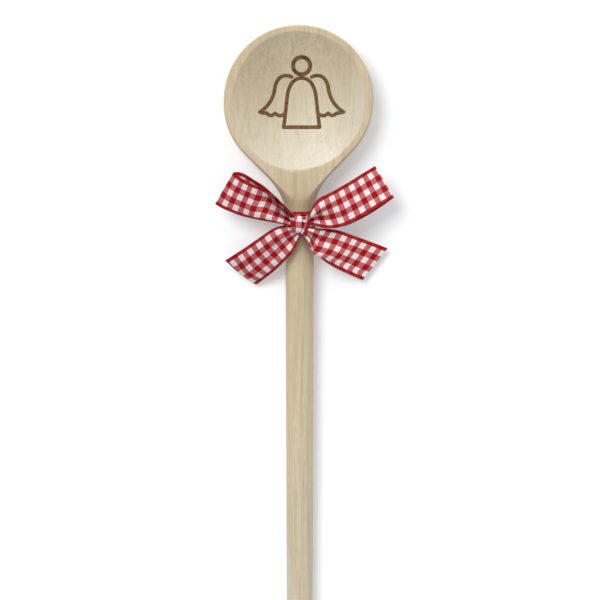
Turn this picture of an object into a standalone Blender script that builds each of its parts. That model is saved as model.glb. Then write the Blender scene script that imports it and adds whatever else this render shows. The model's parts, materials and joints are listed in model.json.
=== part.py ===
"""Wooden cooking spoon, lying face up, with a gingham ribbon tied in a bow round its neck.

Metres, +Z up. The origin is the middle of the small flat on the back of the head, on which the
spoon lies. +Y runs from the handle to the tip of the head, and +X is to the right, looking down
into the dish. Every piece hangs from an empty on the handle's axis, where y is measured from the
middle of the head and z from the axis.
"""

import math

import bmesh
import bpy
from mathutils import Vector

# Spoon
SPOON_LENGTH = 0.300
HEAD_RADIUS = 0.0305
NECK_RADIUS = 0.00585
END_RADIUS = 0.0050
END_DOME_LENGTH = 0.0040
FLANK_ANGLE = math.radians(44)
NECK_FILLET_RADIUS = 0.022

# Head, in heights above the handle's axis
FACE_HEIGHT = 0.0068
BACK_DEPTH = 0.0084
RIM_LINE_HEIGHT = 0.0030
RIM_RISE = 0.0080
RIM_POWER = 3.0
ROUND_POWER = 2.0
DISH_RADIUS = 0.0284
DISH_DEPTH = 0.0065
REST_FLAT_DEPTH = 0.0004
END_CLEARANCE = 0.00003

# Ribbon
RIBBON_WIDTH = 0.015
RIBBON_THICKNESS = 0.0005
GAP = 0.0003
BOW_Y = -0.0505
BAND_WIDTH = 0.0104
BAND_THICKNESS = 0.0006
HALF_KNOT_HEIGHT = 0.0019
HALF_KNOT_WIDTH = 0.0052
HALF_KNOT_Y = 0.0011
HALF_KNOT_SPREAD = math.radians(46)
KNOT_X = -0.0005
KNOT_HALF_SIZE = Vector((0.0037, 0.0048, 0.0021))
KNOT_SKEW = 0.0010
KNOT_PLEATS = 3
KNOT_PLEAT_DEPTH = 0.07
KNOT_END_TAPER = 0.30

# Loops: direction in plan, length from the knot's side to the fold, and heights above the axis
LOOP_BASE_HEIGHT = 0.0108
LOOP_PUFF = 0.0080
LOOP_DROOP = 0.0075
LOOP_PINCH = 0.0042
LOOP_ARCH = 0.0012
LOOP_BACK_SHIFT = 0.0026
LOOP_START_TURN = math.radians(16)
LOOP_STATIONS = 30
LEFT_LOOP_ANGLE = math.radians(154)
LEFT_LOOP_LENGTH = 0.0282
LEFT_LOOP_SPREAD = 0.75
LEFT_LOOP_Y = 0.0018
RIGHT_LOOP_ANGLE = math.radians(29)
RIGHT_LOOP_LENGTH = 0.0350
RIGHT_LOOP_SPREAD = 0.55
RIGHT_LOOP_Y = 0.0010

# Tails: the same, with the end cut on a slant
TAIL_BASE_HEIGHT = 0.0080
TAIL_END_HEIGHT = -0.0030
TAIL_PINCH = 0.0060
TAIL_SPREAD = 0.50
TAIL_ARCH = 0.0016
TAIL_SLANT = 0.0017
TAIL_STATIONS = 14
LEFT_TAIL_ANGLE = math.radians(-140)
LEFT_TAIL_LENGTH = 0.0254
RIGHT_TAIL_ANGLE = math.radians(-27)
RIGHT_TAIL_LENGTH = 0.0305
TAIL_Y = -0.0034

# Colours of the wood and, on average, of the red and white ribbon
WOOD_COLOUR = (0.63, 0.52, 0.35)
WOOD_ROUGHNESS = 0.6
RIBBON_COLOUR = (0.58, 0.10, 0.11)
RIBBON_ROUGHNESS = 0.8

# Mesh steps
RING_POINTS = 40
HEAD_STEPS = 11
FLANK_STEPS = 3
FILLET_STEPS = 7
HANDLE_STEPS = 4
DOME_STEPS = 4
DISH_SEGMENTS = 64
DISH_RINGS = 9
BAND_SEGMENTS = 40
HALF_KNOT_SEGMENTS = 8
KNOT_STATIONS = 12
KNOT_RING_POINTS = 20
RIBBON_STEPS_ACROSS = 6
CUTTER_MARGIN = 0.005
SMOOTH_ANGLE = math.radians(30)

# Lines worked out from the sizes above
TIP_Y = HEAD_RADIUS
END_Y = HEAD_RADIUS - SPOON_LENGTH
FLANK_Y = -HEAD_RADIUS * math.sin(FLANK_ANGLE)
FLANK_X = HEAD_RADIUS * math.cos(FLANK_ANGLE)
CORNER_Y = FLANK_Y - (FLANK_X - NECK_RADIUS) / math.tan(FLANK_ANGLE)
FILLET_TANGENT = NECK_FILLET_RADIUS * math.tan(FLANK_ANGLE / 2)
FILLET_TOP_Y = CORNER_Y + FILLET_TANGENT * math.cos(FLANK_ANGLE)
NECK_Y = CORNER_Y - FILLET_TANGENT
DOME_Y = END_Y + END_DOME_LENGTH
AXIS_HEIGHT = BACK_DEPTH - REST_FLAT_DEPTH
LIE_ANGLE = math.asin((AXIS_HEIGHT - END_RADIUS - END_CLEARANCE) / -DOME_Y)


def smooth_step(value):
    t = min(max(value, 0.0), 1.0)
    return t * t * (3 - 2 * t)


def signed_power(value, power):
    return math.copysign(abs(value) ** power, value)


def material(name, colour, roughness):
    made = bpy.data.materials.new(name)
    made.use_nodes = True
    shader = made.node_tree.nodes["Principled BSDF"]
    shader.inputs["Base Color"].default_value = (*colour, 1.0)
    shader.inputs["Roughness"].default_value = roughness
    shader.inputs["Metallic"].default_value = 0.0
    return made


def empty(name, parent=None, location=(0, 0, 0)):
    made = bpy.data.objects.new(name, None)
    made.location = location
    made.parent = parent
    bpy.context.collection.objects.link(made)
    return made


def object_from(shape, name, parent, look=None):
    """An object from a bmesh, with its faces turned out and its round faces shaded smooth."""
    mesh = bpy.data.meshes.new(name)
    bmesh.ops.recalc_face_normals(shape, faces=shape.faces)
    shape.to_mesh(mesh)
    shape.free()
    mesh.shade_smooth()
    mesh.set_sharp_from_angle(angle=SMOOTH_ANGLE)
    made = bpy.data.objects.new(name, mesh)
    made.parent = parent
    bpy.context.collection.objects.link(made)
    if look:
        mesh.materials.append(look)
    return made


def cut(target, cutter):
    cutter.hide_render = True
    cutter.display_type = "WIRE"
    modifier = target.modifiers.new(cutter.name, "BOOLEAN")
    modifier.operation = "DIFFERENCE"
    modifier.solver = "EXACT"
    modifier.object = cutter


def skin_rings(shape, rings, joined=False):
    """Quads between closed rings of as many points each, and from the last back to the first if joined."""
    made = [[shape.verts.new(point) for point in ring] for ring in rings]
    count = len(made[0])
    for near, far in zip(made, made[1:] + made[:1] if joined else made[1:]):
        for k in range(count):
            following = (k + 1) % count
            shape.faces.new((near[k], near[following], far[following], far[k]))
    return made


def close_to_point(shape, ring, point):
    tip = shape.verts.new(point)
    for k in range(len(ring)):
        shape.faces.new((ring[k], ring[(k + 1) % len(ring)], tip))


# Spoon


def handle_radius(y):
    """The handle tapers evenly from the neck to the end's dome."""
    share = (NECK_Y - y) / (NECK_Y - DOME_Y)
    return NECK_RADIUS + (END_RADIUS - NECK_RADIUS) * share


def outline_half_width(y):
    """Half the spoon's width in plan: a round head, straight flanks, a fillet and the handle."""
    if y >= FLANK_Y:
        return math.sqrt(max(HEAD_RADIUS**2 - y**2, 0.0))
    if y >= FILLET_TOP_Y:
        return FLANK_X - (FLANK_Y - y) * math.tan(FLANK_ANGLE)
    if y >= NECK_Y:
        side = math.sqrt(NECK_FILLET_RADIUS**2 - (y - NECK_Y) ** 2)
        return NECK_RADIUS + NECK_FILLET_RADIUS - side
    if y >= DOME_Y:
        return handle_radius(y)
    return END_RADIUS * math.sqrt(max(1 - ((DOME_Y - y) / END_DOME_LENGTH) ** 2, 0.0))


def section_sizes(y):
    """The section's widest line, its rise above and drop below that line, and its roundness on top."""
    if y > 0:
        to_tip = y / HEAD_RADIUS
        rise = RIM_RISE * (1 - to_tip**RIM_POWER) ** (1 / RIM_POWER)
        drop = (BACK_DEPTH + RIM_LINE_HEIGHT) * math.sqrt(1 - to_tip**2)
        return RIM_LINE_HEIGHT, rise, drop, RIM_POWER
    half_width = outline_half_width(y)
    head_share = smooth_step(1 - y / NECK_Y)
    rim_line = RIM_LINE_HEIGHT * head_share
    rise = min(RIM_RISE, half_width - rim_line)
    handle_drop = min(half_width, NECK_RADIUS)
    drop = handle_drop + (BACK_DEPTH + RIM_LINE_HEIGHT - handle_drop) * head_share
    top_power = ROUND_POWER + (RIM_POWER - ROUND_POWER) * smooth_step(2 * head_share)
    return rim_line, rise, drop, top_power


def section_ring(y):
    """The spoon's outline across the axis: a circle on the handle, a boat shape on the head."""
    half_width = outline_half_width(y)
    rim_line, rise, drop, top_power = section_sizes(y)
    ring = []
    for k in range(RING_POINTS):
        angle = 2 * math.pi * k / RING_POINTS
        above = math.sin(angle) > 0
        power = 2 / (top_power if above else ROUND_POWER)
        across = half_width * signed_power(math.cos(angle), power)
        height = (rise if above else drop) * signed_power(math.sin(angle), power)
        ring.append((across, y, rim_line + height))
    return ring


def spoon_stations():
    """Places along the axis, close together where the outline bends."""
    stations = []
    for k in range(1, HEAD_STEPS):
        stations.append(HEAD_RADIUS * math.cos(math.pi / 2 * k / HEAD_STEPS))
    head_foot_steps = HEAD_STEPS // 2
    for k in range(head_foot_steps + 1):
        stations.append(-HEAD_RADIUS * math.sin(FLANK_ANGLE * k / head_foot_steps))
    for k in range(1, FLANK_STEPS + 1):
        stations.append(FLANK_Y + (FILLET_TOP_Y - FLANK_Y) * k / FLANK_STEPS)
    for k in range(1, FILLET_STEPS + 1):
        angle = FLANK_ANGLE * (1 - k / FILLET_STEPS)
        stations.append(NECK_Y + NECK_FILLET_RADIUS * math.sin(angle))
    for k in range(1, HANDLE_STEPS + 1):
        stations.append(NECK_Y + (DOME_Y - NECK_Y) * k / HANDLE_STEPS)
    for k in range(1, DOME_STEPS):
        stations.append(DOME_Y - END_DOME_LENGTH * math.sin(math.pi / 2 * k / DOME_STEPS))
    return stations


def spoon_blank(axis, look):
    shape = bmesh.new()
    rings = skin_rings(shape, [section_ring(y) for y in spoon_stations()])
    close_to_point(shape, rings[0], (0, TIP_Y, RIM_LINE_HEIGHT))
    close_to_point(shape, rings[-1], (0, END_Y, 0))
    return object_from(shape, "spoon", axis, look)


def box_cutter(name, low, high, parent=None):
    shape = bmesh.new()
    bmesh.ops.create_cube(shape, size=1.0)
    for vertex in shape.verts:
        for k in range(3):
            vertex.co[k] = high[k] if vertex.co[k] > 0 else low[k]
    return object_from(shape, name, parent)


def face_cutter(axis):
    """Takes the wood above the head's flat face."""
    reach = HEAD_RADIUS + CUTTER_MARGIN
    low = (-reach, NECK_Y - CUTTER_MARGIN, FACE_HEIGHT)
    high = (reach, reach, FACE_HEIGHT + reach)
    return box_cutter("face_cutter", low, high, axis)


def rest_cutter():
    """Takes the low point of the head's back, so that the spoon lies on a small flat."""
    reach = HEAD_RADIUS + CUTTER_MARGIN
    return box_cutter("rest_cutter", (-reach, -reach, -reach), (reach, reach, 0.0))


def circle(radius, height, count):
    points = []
    for k in range(count):
        angle = 2 * math.pi * k / count
        points.append((radius * math.cos(angle), radius * math.sin(angle), height))
    return points


def dish_cutter(axis):
    """Takes the dish out of the face: a ball's cap that runs on above the face."""
    ball_radius = (DISH_RADIUS**2 + DISH_DEPTH**2) / (2 * DISH_DEPTH)
    centre_height = FACE_HEIGHT - DISH_DEPTH + ball_radius
    edge_angle = math.asin((DISH_RADIUS + DISH_DEPTH / 2) / ball_radius)
    rings = []
    for k in range(1, DISH_RINGS + 1):
        angle = edge_angle * k / DISH_RINGS
        radius = ball_radius * math.sin(angle)
        height = centre_height - ball_radius * math.cos(angle)
        rings.append(circle(radius, height, DISH_SEGMENTS))
    shape = bmesh.new()
    made = skin_rings(shape, rings)
    close_to_point(shape, made[0], (0, 0, FACE_HEIGHT - DISH_DEPTH))
    shape.faces.new(made[-1])
    return object_from(shape, "dish_cutter", axis)


def make_spoon(axis, look):
    spoon = spoon_blank(axis, look)
    cut(spoon, face_cutter(axis))
    cut(spoon, dish_cutter(axis))
    cut(spoon, rest_cutter())
    return spoon


# Ribbon, in heights above the handle's axis and with y from the middle of the bow

BAND_INNER_RADIUS = outline_half_width(BOW_Y + BAND_WIDTH / 2) + GAP
BAND_OUTER_RADIUS = BAND_INNER_RADIUS + BAND_THICKNESS
HALF_KNOT_INNER_RADIUS = BAND_OUTER_RADIUS + GAP
HALF_KNOT_OUTER_RADIUS = HALF_KNOT_INNER_RADIUS + HALF_KNOT_HEIGHT
KNOT_HEIGHT = HALF_KNOT_OUTER_RADIUS + GAP + KNOT_HALF_SIZE.z * (1 + KNOT_PLEAT_DEPTH)


def strip_section(angle, inner, outer, y, width):
    """A strip's rectangle across its run, where the run is at this angle from the top of the handle."""
    section = []
    for radius, side in ((inner, -1), (inner, 1), (outer, 1), (outer, -1)):
        section.append((radius * math.sin(angle), y + side * width / 2, radius * math.cos(angle)))
    return section


def neck_band(parent, look):
    rings = []
    for k in range(BAND_SEGMENTS):
        angle = 2 * math.pi * k / BAND_SEGMENTS
        rings.append(strip_section(angle, BAND_INNER_RADIUS, BAND_OUTER_RADIUS, 0.0, BAND_WIDTH))
    shape = bmesh.new()
    skin_rings(shape, rings, joined=True)
    return object_from(shape, "ribbon_neck_band", parent, look)


def half_knot(parent, look):
    """The first crossing, a pad on top of the band."""
    rings = []
    for k in range(HALF_KNOT_SEGMENTS + 1):
        angle = HALF_KNOT_SPREAD * (k / HALF_KNOT_SEGMENTS - 0.5)
        section = strip_section(
            angle, HALF_KNOT_INNER_RADIUS, HALF_KNOT_OUTER_RADIUS, HALF_KNOT_Y, HALF_KNOT_WIDTH
        )
        rings.append(section)
    shape = bmesh.new()
    made = skin_rings(shape, rings)
    shape.faces.new(made[0])
    shape.faces.new(made[-1])
    return object_from(shape, "ribbon_half_knot", parent, look)


def knot_wrap(parent, look):
    """The strand over the middle of the bow: a barrel across the bow with pleats running round it."""
    rings = []
    for k in range(KNOT_STATIONS + 1):
        along = 2 * k / KNOT_STATIONS - 1
        pleat = 1 + KNOT_PLEAT_DEPTH * math.cos(math.pi * KNOT_PLEATS * along)
        size = pleat * (1 - KNOT_END_TAPER * along**4)
        ring = []
        for j in range(KNOT_RING_POINTS):
            angle = 2 * math.pi * j / KNOT_RING_POINTS
            lean = KNOT_SKEW * math.cos(angle)
            ring.append(
                (
                    KNOT_X + along * KNOT_HALF_SIZE.x + lean,
                    KNOT_HALF_SIZE.y * size * math.cos(angle),
                    KNOT_HEIGHT + KNOT_HALF_SIZE.z * size * math.sin(angle),
                )
            )
        rings.append(ring)
    shape = bmesh.new()
    made = skin_rings(shape, rings)
    shape.faces.new(made[0])
    shape.faces.new(made[-1])
    return object_from(shape, "ribbon_knot_wrap", parent, look)


def ribbon_sheet(name, rows, parent, look):
    """A ribbon's stretch from rows of points across it, given its thickness."""
    shape = bmesh.new()
    made = [[shape.verts.new(point) for point in row] for row in rows]
    for near, far in zip(made, made[1:]):
        for k in range(len(near) - 1):
            shape.faces.new((near[k], near[k + 1], far[k + 1], far[k]))
    sheet = object_from(shape, name, parent, look)
    solidify = sheet.modifiers.new("thickness", "SOLIDIFY")
    solidify.thickness = RIBBON_THICKNESS
    solidify.offset = 0.0
    solidify.use_even_offset = True
    return sheet


def steps_across():
    """Places across the ribbon, from -1 at one edge to 1 at the other."""
    return [2 * k / RIBBON_STEPS_ACROSS - 1 for k in range(RIBBON_STEPS_ACROSS + 1)]


def knot_side(angle, y):
    """The point beside the knot where a stretch that runs out at this angle begins."""
    reach = KNOT_HALF_SIZE.x + KNOT_SKEW + GAP
    return Vector((KNOT_X + math.copysign(reach, math.cos(angle)), y, 0))


def spread_width(pinch, share):
    """Half the ribbon's width: gathered at the knot, spread out where share reaches 1."""
    return (pinch + (RIBBON_WIDTH - pinch) * smooth_step(share)) / 2


def loop(name, parent, look, angle, length, spread, y):
    """Out from the knot on the upper layer, round the fold and back on the lower layer."""
    out = Vector((math.cos(angle), math.sin(angle), 0))
    across = Vector((-out.y, out.x, 0)) * math.copysign(1, out.x)
    base = knot_side(angle, y)
    rows = []
    for k in range(LOOP_STATIONS + 1):
        turn = LOOP_START_TURN + 2 * (math.pi - LOOP_START_TURN) * k / LOOP_STATIONS
        reach = (1 - math.cos(turn)) / 2
        height = LOOP_BASE_HEIGHT + LOOP_PUFF / 2 * math.sin(turn) - LOOP_DROOP * reach**2
        half_width = spread_width(LOOP_PINCH, reach / spread)
        arch = LOOP_ARCH * math.sin(turn) * (1 - smooth_step(reach))
        shift = LOOP_BACK_SHIFT * (turn / math.pi - 1)
        middle = base + out * (length * reach) + across * shift
        row = []
        for s in steps_across():
            lift = Vector((0, 0, height + arch * (1 - s * s)))
            row.append(middle + across * (s * half_width) + lift)
        rows.append(row)
    return ribbon_sheet(name, rows, parent, look)


def tail(name, parent, look, angle, length):
    """Out from under the knot and down, with the end cut on a slant."""
    out = Vector((math.cos(angle), math.sin(angle), 0))
    across = Vector((-out.y, out.x, 0)) * math.copysign(1, out.x)
    base = knot_side(angle, TAIL_Y)
    rows = []
    for k in range(TAIL_STATIONS + 1):
        reach = k / TAIL_STATIONS
        height = TAIL_BASE_HEIGHT + (TAIL_END_HEIGHT - TAIL_BASE_HEIGHT) * smooth_step(reach)
        half_width = spread_width(TAIL_PINCH, reach / TAIL_SPREAD)
        arch = TAIL_ARCH * (1 - smooth_step(reach))
        row = []
        for s in steps_across():
            along = reach * (length + TAIL_SLANT * s)
            lift = Vector((0, 0, height + arch * (1 - s * s)))
            row.append(base + out * along + across * (s * half_width) + lift)
        rows.append(row)
    return ribbon_sheet(name, rows, parent, look)


def make_ribbon(slide, turn, look):
    neck_band(slide, look)
    half_knot(turn, look)
    knot_wrap(turn, look)
    loop("ribbon_left_loop", turn, look, LEFT_LOOP_ANGLE, LEFT_LOOP_LENGTH, LEFT_LOOP_SPREAD, LEFT_LOOP_Y)
    loop(
        "ribbon_right_loop", turn, look, RIGHT_LOOP_ANGLE, RIGHT_LOOP_LENGTH, RIGHT_LOOP_SPREAD, RIGHT_LOOP_Y
    )
    tail("ribbon_left_tail", turn, look, LEFT_TAIL_ANGLE, LEFT_TAIL_LENGTH)
    tail("ribbon_right_tail", turn, look, RIGHT_TAIL_ANGLE, RIGHT_TAIL_LENGTH)


def main():
    for old in list(bpy.data.objects):
        bpy.data.objects.remove(old)
    wood = material("pale_wood", WOOD_COLOUR, WOOD_ROUGHNESS)
    ribbon = material("gingham_ribbon", RIBBON_COLOUR, RIBBON_ROUGHNESS)
    axis = empty("spoon_axis", location=(0, 0, AXIS_HEIGHT))
    axis.rotation_euler.x = LIE_ANGLE
    slide = empty("ribbon_slide", axis, (0, BOW_Y, 0))
    turn = empty("ribbon_turn", slide)
    make_spoon(axis, wood)
    make_ribbon(slide, turn, ribbon)


main()
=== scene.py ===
"""Looks of the wooden cooking spoon: pale wood with a burnt figure, a gingham bow, floor, light and camera.

Lengths are in millimetres along the handle's axis: x to the right, y from the middle of the head
towards its tip, z above the axis. IN_FRAME takes them to the row frame in metres.
"""

import json
import math

import bmesh
import bpy
import numpy as np
from mathutils import Matrix, Vector


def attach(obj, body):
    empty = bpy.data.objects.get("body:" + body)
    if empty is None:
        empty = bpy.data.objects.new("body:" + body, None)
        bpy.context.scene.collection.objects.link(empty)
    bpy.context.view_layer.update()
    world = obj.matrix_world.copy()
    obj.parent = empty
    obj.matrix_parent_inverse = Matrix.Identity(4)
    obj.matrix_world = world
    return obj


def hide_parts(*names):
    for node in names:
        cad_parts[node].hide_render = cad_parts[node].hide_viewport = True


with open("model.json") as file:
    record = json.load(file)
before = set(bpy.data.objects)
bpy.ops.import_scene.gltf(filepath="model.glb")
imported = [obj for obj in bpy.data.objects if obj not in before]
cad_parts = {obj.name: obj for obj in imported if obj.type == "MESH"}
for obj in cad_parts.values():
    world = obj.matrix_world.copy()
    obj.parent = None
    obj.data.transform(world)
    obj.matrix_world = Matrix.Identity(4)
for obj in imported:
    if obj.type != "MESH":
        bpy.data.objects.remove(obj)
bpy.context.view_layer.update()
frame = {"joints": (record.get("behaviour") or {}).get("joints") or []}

# Millimetres in a metre
METRE = 1000

# Spoon
HEAD_RADIUS = 30.5
NECK_RADIUS = 5.85
END_RADIUS = 5.0
END_Y = -269.5
DOME_LENGTH = 4.0
FLANK_ANGLE = math.radians(44)
FILLET_RADIUS = 24.0
FACE_HEIGHT = 6.8
BACK_DEPTH = 8.4
RIM_LINE = 3.0
RIM_RISE = 10.0
RIM_POWER = 3.0
ROUND_POWER = 2.0
FACE_ROUNDING = 0.12
DISH_RADIUS = 28.4
DISH_WIDE = 27.0
DISH_LONG = 28.2
DISH_Y = -0.3
DISH_DEPTH = 6.5
DISH_ROUNDING = 0.18
DISH_WANDER = 0.14
DISH_WANDER_POWER = 4
NECK_END_Y = -48.0
NECK_BLEND = 10.0

# Count, phase and share of the waves round the dish's edge
DISH_WAVES = ((5, 0.8, 1.0), (9, 2.0, 0.7))

# Places along the axis, and the head's lean and extra share of width there
LEAN_PLACES = ((-42, -33, -22, -10, 0, 30.5), (0.0, -0.7, -1.0, -0.7, -0.4, -0.4))
FULL_PLACES = ((-42, -33, -22, -12, 0, 30.5), (0.0, 0.03, 0.025, 0.01, 0.0, 0.0))

# Burnt figure, about its own middle line: a ring above an arched robe with a wing on each side
FIGURE_X = 0.8
RING_Y = 13.9
RING_RADIUS = 3.48
RING_LINE = 1.62
FIGURE_LINE = 1.46
LINE_EDGE = 0.2
BURN_DEPTH = 0.22
ROBE_SIDE = ((7.3, -11.1), (6.6, -6.0), (6.3, -2.0), (5.9, 1.2))
ROBE_ARCH = ((5.9, 1.2), (5.3, 6.1), (3.2, 8.92), (0.0, 8.92))
WING_TOP = ((4.1, 9.35), (6.9, 10.8), (10.2, 9.6), (10.9, 4.8))
WING_SIDE = ((10.9, 4.8), (11.4, 0.9), (13.3, -2.6), (17.0, -4.96))
WING_HEM = ((17.0, -4.96), (14.3, -5.35), (10.8, -5.45), (6.7, -5.5))
SCALLOP_DEPTHS = (0.15, 0.95, 0.95)
RING_POINTS = 60
SCALLOP_POINTS = 12

# The curves of the figure's right half, each with its count of points
HALF_CURVES = ((ROBE_SIDE, 12), (ROBE_ARCH, 30), (WING_TOP, 24), (WING_SIDE, 24))

# Ribbon
WIDTH = 15.0
CLOTH = 0.26
BOW_Y = -50.5
CHECK = 2.43
WHOLE_CHECKS = 5
SELVEDGE_CHECK = (WIDTH - WHOLE_CHECKS * CHECK) / 2

# Middle of the first red band along the ribbon
RED_MIDDLE = 1.5 * CHECK

# Mesh steps and searches
DISH_CELLS = 240
RIM_STEPS = 22
BACK_STEPS = 20
BACK_REACH = 0.86
HANDLE_STEPS = 48
DOME_STEPS = 10
STEPS_ACROSS = 50
LINE_STEPS = 400
OUTLINE_FAR = 60.0
OUTLINE_HALVINGS = 50
SECTION_HALVINGS = 40
CLOSE = 1e-9

# Picture
PIXEL = 0.408
PICTURE = 600
MIDDLE = (0.12, -81.5)
CAMERA_DISTANCE = 1600.0
CAMERA_FAR = 20000.0
SENSOR = 36.0

# The handle's axis in the row frame, from the joint that turns the bow round it
TURN_JOINT = next(joint for joint in frame["joints"] if joint["name"] == "ribbon_turn")
ALONG = Vector(TURN_JOINT["axis"]).normalized()
UPWARD = Vector((1, 0, 0)).cross(ALONG)
AXIS_ORIGIN = Vector(TURN_JOINT["pos_m"]) - ALONG * (BOW_Y / METRE)
AXES = Matrix(((1, 0, 0), ALONG, UPWARD)).transposed().to_4x4()
IN_FRAME = Matrix.Translation(AXIS_ORIGIN) @ AXES @ Matrix.Scale(1 / METRE, 4)


def smooth_step(value):
    """0 below 0, 1 above 1 and smooth between."""
    t = np.clip(value, 0.0, 1.0)
    return t * t * (3 - 2 * t)


def soft_min(a, b, width):
    """The lower of two heights, rounded where they cross."""
    near = np.maximum(width - np.abs(a - b), 0.0) / width
    return np.minimum(a, b) - near * near * width / 4


def bezier(points, count):
    """Points along a cubic curve from its four control points."""
    t = np.linspace(0, 1, count)[:, None]
    a, b, c, d = (np.array(point, float) for point in points)
    return a * (1 - t) ** 3 + 3 * b * t * (1 - t) ** 2 + 3 * c * t * t * (1 - t) + d * t**3


def spline(knots, values, at):
    """A smooth curve through the values at the knots (natural cubic)."""
    knots = np.asarray(knots, float)
    values = np.asarray(values, float)
    flat = values.reshape(len(knots), -1)
    step = np.diff(knots)
    count = len(knots)
    system = np.eye(count)
    right = np.zeros_like(flat)
    for k in range(1, count - 1):
        system[k, k - 1 : k + 2] = step[k - 1], 2 * (step[k - 1] + step[k]), step[k]
        right[k] = 6 * ((flat[k + 1] - flat[k]) / step[k] - (flat[k] - flat[k - 1]) / step[k - 1])
    bend = np.linalg.solve(system, right)
    at = np.clip(np.asarray(at, float), knots[0], knots[-1])
    k = np.clip(np.searchsorted(knots, at) - 1, 0, count - 2)
    h = step[k][:, None]
    low = (knots[k + 1] - at)[:, None]
    high = (at - knots[k])[:, None]
    found = (bend[k] * low**3 + bend[k + 1] * high**3) / (6 * h)
    found += (flat[k] / h - bend[k] * h / 6) * low + (flat[k + 1] / h - bend[k + 1] * h / 6) * high
    return found.reshape((len(at),) + values.shape[1:])


def along_line(points, shares):
    """Points at these shares of the length of a smooth line."""
    points = np.array(points, float)
    knots = np.concatenate([[0], np.cumsum(np.linalg.norm(np.diff(points, axis=0), axis=1))])
    fine = spline(knots, points, np.linspace(0, knots[-1], LINE_STEPS))
    length = np.concatenate([[0], np.cumsum(np.linalg.norm(np.diff(fine, axis=0), axis=1))])
    wanted = np.asarray(shares) * length[-1]
    return np.stack([np.interp(wanted, length, fine[:, k]) for k in range(points.shape[1])], axis=1)


def make_object(name, vertices, faces, look, body, slot, *nodes):
    """A smooth piece, from points about the handle's axis, that rides on a body and replaces CAD nodes."""
    mesh = bpy.data.meshes.new(name)
    mesh.from_pydata(vertices.tolist(), [], faces)
    mesh.transform(IN_FRAME)
    mesh.shade_smooth()
    mesh.materials.append(look)
    made = bpy.data.objects.new(name, mesh)
    bpy.context.scene.collection.objects.link(made)
    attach(made, body)
    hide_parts(*nodes)
    return made


# Spoon shape

FLANK_Y = -HEAD_RADIUS * math.sin(FLANK_ANGLE)
FLANK_X = HEAD_RADIUS * math.cos(FLANK_ANGLE)
CORNER_Y = FLANK_Y - (FLANK_X - NECK_RADIUS) / math.tan(FLANK_ANGLE)
FILLET_TANGENT = FILLET_RADIUS * math.tan(FLANK_ANGLE / 2)
FILLET_TOP_Y = CORNER_Y + FILLET_TANGENT * math.cos(FLANK_ANGLE)
NECK_Y = CORNER_Y - FILLET_TANGENT
DOME_Y = END_Y + DOME_LENGTH
BALL_RADIUS = (DISH_RADIUS**2 + DISH_DEPTH**2) / (2 * DISH_DEPTH)


def handle_radius(y):
    """The handle's radius, which tapers towards its end."""
    return NECK_RADIUS + (END_RADIUS - NECK_RADIUS) * (NECK_Y - y) / (NECK_Y - DOME_Y)


def half_width(y):
    """Half the spoon's width in plan: a round head, straight flanks, a fillet and the handle."""
    head = np.sqrt(np.maximum(HEAD_RADIUS**2 - y**2, 0.0))
    flank = FLANK_X - (FLANK_Y - y) * math.tan(FLANK_ANGLE)
    below = np.clip(y - NECK_Y, 0.0, FILLET_RADIUS)
    fillet = NECK_RADIUS + FILLET_RADIUS - np.sqrt(FILLET_RADIUS**2 - below**2)
    return np.select([y >= FLANK_Y, y >= FILLET_TOP_Y, y >= NECK_Y], [head, flank, fillet], handle_radius(y))


def head_share(y):
    """1 from the head's middle to its tip, and down to 0 at the neck."""
    return smooth_step(1 - np.minimum(y, 0.0) / NECK_Y)


def rim_line(y):
    """Height of the outline, where the top meets the back."""
    return RIM_LINE * head_share(y)


def side_share(x, y):
    """How far out across the section a point lies, from 0 on the axis to 1 at the outline."""
    return np.clip(np.abs(x) / np.maximum(half_width(y), CLOSE), 0.0, 1.0)


def dish_reach(x, y):
    """How far out from the dish's middle a point lies, scaled to put the dish's edge at its radius."""
    out = np.hypot(x / DISH_WIDE, (y - DISH_Y) / DISH_LONG)
    around = np.arctan2(y - DISH_Y, x)
    waves = sum(share * np.sin(count * around + phase) for count, phase, share in DISH_WAVES)
    return DISH_RADIUS * out + DISH_WANDER * waves * out**DISH_WANDER_POWER


def leaned(x, y):
    """Where a point across the head lies once the head leans and fills out as in the photo."""
    lean = np.interp(y, *LEAN_PLACES)
    return x * (1 + np.interp(y, *FULL_PLACES)) + lean


def top_height(x, y):
    """The rounded blank, cut by the flat face and by the dish."""
    to_tip = np.clip(y / HEAD_RADIUS, 0.0, 1.0)
    rise = np.minimum(RIM_RISE, half_width(np.minimum(y, 0.0)) - rim_line(y))
    rise = rise * (1 - to_tip**RIM_POWER) ** (1 / RIM_POWER)
    power = ROUND_POWER + (RIM_POWER - ROUND_POWER) * smooth_step((y - NECK_Y) / NECK_BLEND)
    blank = rim_line(y) + rise * (1 - side_share(x, y) ** power) ** (1 / power)
    dish = FACE_HEIGHT - DISH_DEPTH + BALL_RADIUS - np.sqrt(BALL_RADIUS**2 - dish_reach(x, y) ** 2)
    return soft_min(soft_min(blank, FACE_HEIGHT, FACE_ROUNDING), dish, DISH_ROUNDING)


def back_height(x, y):
    """The rounded back, down to the small flat on which the head lies."""
    to_tip = np.clip(y / HEAD_RADIUS, 0.0, 1.0)
    handle_drop = np.minimum(half_width(np.minimum(y, 0.0)), NECK_RADIUS)
    drop = handle_drop + (BACK_DEPTH + RIM_LINE - handle_drop) * head_share(y)
    drop = drop * np.sqrt(1 - to_tip**2)
    height = rim_line(y) - drop * np.sqrt(1 - side_share(x, y) ** 2)
    floor = -(AXIS_ORIGIN.z * METRE + y * ALONG.z) / UPWARD.z
    return np.maximum(height, floor)


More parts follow.
